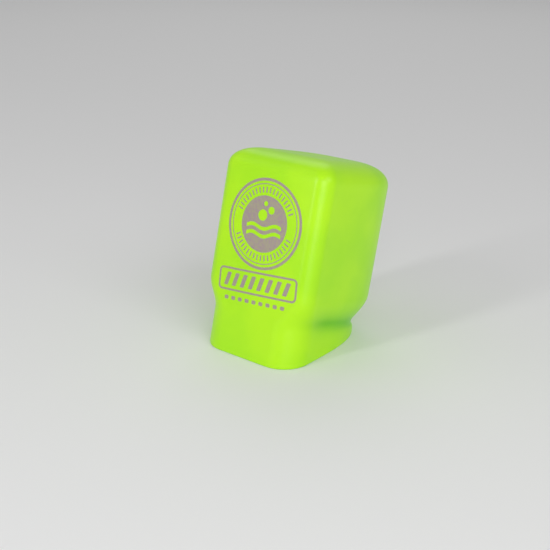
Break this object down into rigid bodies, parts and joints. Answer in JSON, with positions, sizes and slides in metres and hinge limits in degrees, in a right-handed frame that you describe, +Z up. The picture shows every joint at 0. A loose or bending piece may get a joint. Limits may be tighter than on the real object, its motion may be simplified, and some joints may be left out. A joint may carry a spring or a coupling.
{
  "type": "valve protector cap",
  "caption": "Soft one-piece slip-on cap that covers the valve of a diving cylinder; boxy hollow body, rounder neck with a slanted open rim and a printed emblem.",
  "frame": {"origin": "middle of the bounding box's lower face, on the plane that the open rim stands on", "axes": "+Z up from the rim plane, front with the print faces -Y, +X to the right of a viewer who faces the print; the cap's own axis leans back about 13 degrees towards +Y"},
  "size_m": [0.0518, 0.0722, 0.0774],
  "materials": {
    "cap_vinyl": "fluorescent yellow-green soft vinyl, smooth and glossy",
    "print_ink": "thin mauve-grey pad-printing ink"
  },
  "bodies": {
    "root": {"cap_shell": "cap_vinyl", "print_outer_ring": "print_ink", "print_fine_ring": "print_ink", "print_bezel_ticks": "print_ink", "print_wave_disc": "print_ink", "print_label_frame": "print_ink", "print_label_stripes": "print_ink", "print_dash_row": "print_ink"}
  },
  "joints": []
}
